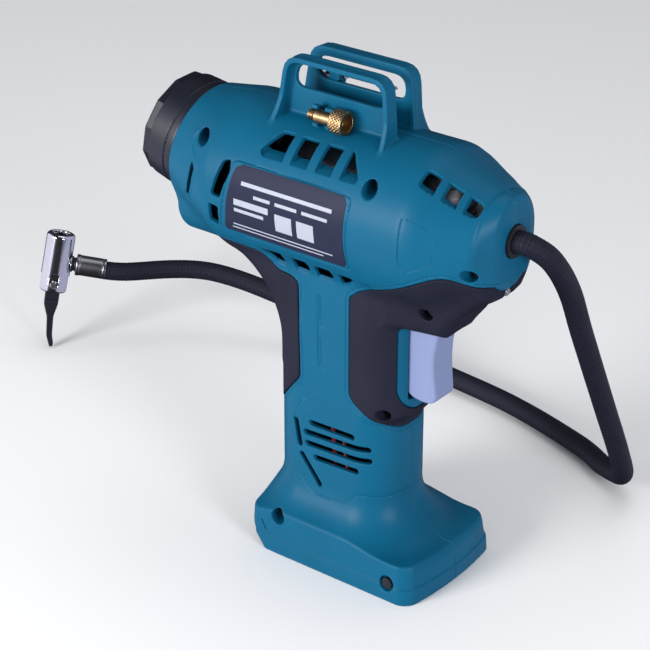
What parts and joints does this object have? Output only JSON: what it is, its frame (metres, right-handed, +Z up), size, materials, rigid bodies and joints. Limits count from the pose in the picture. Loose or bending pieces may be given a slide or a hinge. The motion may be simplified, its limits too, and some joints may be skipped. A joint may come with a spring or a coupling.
{
  "type": "portable tire inflator",
  "caption": "Pistol-shaped cordless tire inflator with a barrel pump, soft grip, trigger, rear gauge panel, hose with lever chuck and spare nozzles clipped on top.",
  "frame": {"origin": "on the table plane, at the middle of the open battery bay under the foot", "axes": "+X to the nose where the hose leaves, -Y to the side with the screws, +Z up, the grip standing upright"},
  "size_m": [0.3912, 0.2087, 0.2596],
  "materials": {
    "body_plastic": "moulded, fine matt texture",
    "soft_grip": "soft matt overmould",
    "black_plastic": "matt",
    "display_glass": "polished",
    "circuit_board": "solder mask",
    "steel": "zinc plated",
    "label_film": "printed film",
    "led_glass": "clear lens",
    "contact_brass": "machined",
    "wire_jacket": "smooth jacket",
    "cast_aluminium": "die cast",
    "clear_tube": "translucent tube",
    "hose_rubber": "braid covered",
    "trigger_plastic": "fine satin",
    "white_plastic": "acetal",
    "button_rubber": "silicone",
    "copper_steel": "laminations and windings",
    "seal_rubber": "moulded",
    "ferrule_steel": "crimped",
    "chuck_chrome": "polished",
    "adapter_brass": "knurled"
  },
  "bodies": {
    "body": {"housing_right": "body_plastic", "housing_left": "body_plastic", "pad_front_right": "soft_grip", "pad_front_left": "soft_grip", "pad_rear_right": "soft_grip", "pad_rear_left": "soft_grip", "rear_bezel": "black_plastic", "display_lens": "display_glass", "display_board": "circuit_board", "housing_screws": "steel", "rating_label": "label_film", "led_lens": "led_glass", "led_board": "circuit_board", "trigger_switch": "black_plastic", "control_board": "circuit_board", "terminal_block": "black_plastic", "terminal_blades": "contact_brass", "wiring": "wire_jacket", "motor_can": "steel", "motor_endbell": "black_plastic", "pump_frame": "cast_aluminium", "crank_bearing": "steel", "pump_cylinder": "cast_aluminium", "cylinder_head": "cast_aluminium", "head_cap": "cast_aluminium", "head_screws": "steel", "outlet_fitting": "contact_brass", "air_tube": "clear_tube", "pressure_sensor": "black_plastic", "hose_collar": "hose_rubber", "hose_fixed": "hose_rubber", "trigger_spring": "steel", "valve_spring": "steel"},
    "trigger_unit": {"trigger": "trigger_plastic", "switch_plunger": "white_plastic"},
    "button_power": {"button_power": "button_rubber"},
    "button_mode": {"button_mode": "button_rubber"},
    "button_plus": {"button_plus": "button_rubber"},
    "button_minus": {"button_minus": "button_rubber"},
    "rotor": {"armature": "copper_steel", "pinion": "contact_brass", "motor_fan": "black_plastic"},
    "crank": {"crank_gear": "white_plastic", "crank_shaft": "steel"},
    "rod": {"connecting_rod": "white_plastic"},
    "piston_unit": {"piston": "cast_aluminium", "piston_seal": "seal_rubber"},
    "outlet_valve": {"check_valve": "seal_rubber"},
    "hose_end": {"hose_free": "hose_rubber", "hose_ferrule": "ferrule_steel", "chuck_stem": "black_plastic", "chuck_body": "chuck_chrome", "chuck_seal": "seal_rubber", "lever_pin": "steel"},
    "chuck_pin": {"valve_depressor": "contact_brass"},
    "lever": {"chuck_lever": "black_plastic"},
    "adapter": {"brass_adapter": "adapter_brass"},
    "needle": {"ball_needle": "steel"},
    "cone": {"cone_adapter": "black_plastic"}
  },
  "joints": [
    {"name": "trigger_slide", "type": "slide", "parent": "body", "child": "trigger_unit", "axis": [-1, 0, 0], "range_m": [0, 0.006], "stiffness_N_per_m": 900, "springref_m": -0.002, "deforming": ["trigger_spring"]},
    {"name": "button_power_press", "type": "slide", "parent": "body", "child": "button_power", "axis": [0.9767, 0, -0.2147], "range_m": [0, 0.0008], "stiffness_N_per_m": 2500, "springref_m": -0.0004},
    {"name": "button_mode_press", "type": "slide", "parent": "body", "child": "button_mode", "axis": [0.9767, 0, -0.2147], "range_m": [0, 0.0008], "stiffness_N_per_m": 2500, "springref_m": -0.0004},
    {"name": "button_plus_press", "type": "slide", "parent": "body", "child": "button_plus", "axis": [0.9767, 0, -0.2147], "range_m": [0, 0.0008], "stiffness_N_per_m": 2500, "springref_m": -0.0004},
    {"name": "button_minus_press", "type": "slide", "parent": "body", "child": "button_minus", "axis": [0.9767, 0, -0.2147], "range_m": [0, 0.0008], "stiffness_N_per_m": 2500, "springref_m": -0.0004},
    {"name": "crank_spin", "type": "hinge", "parent": "body", "child": "crank", "pos_m": [0.03, 0, 0.174], "axis": [1, 0, 0], "continuous": true},
    {"name": "rotor_spin", "type": "hinge", "parent": "body", "child": "rotor", "pos_m": [0, 0, 0.1965], "axis": [1, 0, 0], "continuous": true},
    {"name": "rod_pivot", "type": "hinge", "parent": "crank", "child": "rod", "pos_m": [0.0425, 0, 0.1785], "axis": [1, 0, 0], "continuous": true},
    {"name": "piston_slide", "type": "slide", "parent": "body", "child": "piston_unit", "axis": [0, 0, 1], "range_m": [-0.009, 0]},
    {"name": "outlet_valve_lift", "type": "slide", "parent": "body", "child": "outlet_valve", "axis": [0, 0, 1], "range_m": [0, 0.0012], "stiffness_N_per_m": 200, "springref_m": -0.001, "deforming": ["valve_spring"]},
    {"name": "hose_swing", "type": "hinge", "parent": "body", "child": "hose_end", "pos_m": [0.0575, 0.1305, 0.0074], "axis": [0, 0, 1], "range_deg": [-10, 10], "stiffness_Nm_per_rad": 0.6},
    {"name": "chuck_pin_lift", "type": "slide", "parent": "hose_end", "child": "chuck_pin", "axis": [0.035, 0.2532, 0.9668], "range_m": [0, 0.002]},
    {"name": "lever_flip", "type": "hinge", "parent": "hose_end", "child": "lever", "pos_m": [-0.28484, 0.06344, 0.04072], "axis": [0.6512, -0.7396, 0.1701], "range_deg": [0, 90]},
    {"name": "adapter_pull", "type": "slide", "parent": "body", "child": "adapter", "axis": [0, -1, 0], "range_m": [0, 0.04]},
    {"name": "needle_pull", "type": "slide", "parent": "body", "child": "needle", "axis": [0, 1, 0], "range_m": [0, 0.04]},
    {"name": "cone_pull", "type": "slide", "parent": "body", "child": "cone", "axis": [0, 1, 0], "range_m": [0, 0.04]}
  ],
  "couplings": [
    {"joint": "rotor_spin", "follows": "crank_spin", "ratio": -4},
    {"joint": "rod_pivot", "follows": "crank_spin", "ratio": -1}
  ]
}
